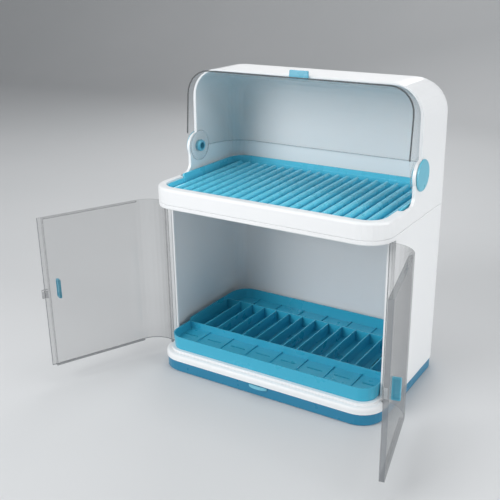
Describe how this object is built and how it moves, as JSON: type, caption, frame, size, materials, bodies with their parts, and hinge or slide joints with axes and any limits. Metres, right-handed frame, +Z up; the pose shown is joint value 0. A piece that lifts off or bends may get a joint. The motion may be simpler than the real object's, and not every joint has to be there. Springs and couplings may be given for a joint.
{
  "type": "covered dish rack",
  "caption": "Two-level covered dish rack: cabinet with two clear swing doors, arched hood with a clear lid that turns up, ribbed upper rack, divided lower rack and a slide-out drip tray.",
  "frame": {"origin": "centre of the footprint, on the surface that the rack stands on (underside of the drip tray)", "axes": "+Z up; the doors and the open shelf face -Y; +X is to the right of someone who faces the front"},
  "size_m": [0.6254, 0.4124, 0.5175],
  "materials": {
    "drip_tray": "smooth moulded plastic, satin gloss",
    "lower_shell": "smooth moulded plastic, glossy",
    "hood": "smooth moulded plastic, glossy",
    "pivot_cap_left": "smooth moulded plastic, satin gloss",
    "pivot_cap_right": "smooth moulded plastic, satin gloss",
    "lid": "clear moulded plastic",
    "lid_handle": "smooth moulded plastic, satin gloss",
    "door_left": "clear moulded plastic",
    "door_handle_left": "smooth moulded plastic, satin gloss",
    "door_catch_left": "clear moulded plastic",
    "door_right": "clear moulded plastic",
    "door_handle_right": "smooth moulded plastic, satin gloss",
    "upper_rack": "smooth moulded plastic, satin gloss",
    "lower_rack": "smooth moulded plastic, satin gloss"
  },
  "bodies": {
    "cabinet": {"lower_shell": "lower_shell", "hood": "hood", "pivot_cap_left": "pivot_cap_left", "pivot_cap_right": "pivot_cap_right"},
    "tray": {"drip_tray": "drip_tray"},
    "lid_body": {"lid": "lid", "lid_handle": "lid_handle"},
    "left_door": {"door_left": "door_left", "door_handle_left": "door_handle_left", "door_catch_left": "door_catch_left"},
    "right_door": {"door_right": "door_right", "door_handle_right": "door_handle_right"},
    "upper_rack_body": {"upper_rack": "upper_rack"},
    "lower_rack_body": {"lower_rack": "lower_rack"}
  },
  "joints": [
    {"name": "lid_hinge", "type": "hinge", "parent": "cabinet", "child": "lid_body", "pos_m": [0, 0.0065, 0.3745], "axis": [-1, 0, 0], "range_deg": [-95, 0]},
    {"name": "left_door_hinge", "type": "hinge", "parent": "cabinet", "child": "left_door", "pos_m": [-0.2058, -0.092, 0.164], "axis": [0, 0, -1], "range_deg": [-114, 6]},
    {"name": "right_door_hinge", "type": "hinge", "parent": "cabinet", "child": "right_door", "pos_m": [0.2058, -0.092, 0.164], "axis": [0, 0, 1], "range_deg": [-102.65, 17.35]},
    {"name": "lower_rack_slide", "type": "slide", "parent": "cabinet", "child": "lower_rack_body", "axis": [0, -1, 0], "range_m": [0, 0.2]},
    {"name": "upper_rack_lift", "type": "slide", "parent": "cabinet", "child": "upper_rack_body", "axis": [0, 0, 1], "range_m": [0, 0.01]},
    {"name": "drip_tray_slide", "type": "slide", "parent": "cabinet", "child": "tray", "axis": [0, -1, 0], "range_m": [0, 0.16]}
  ]
}
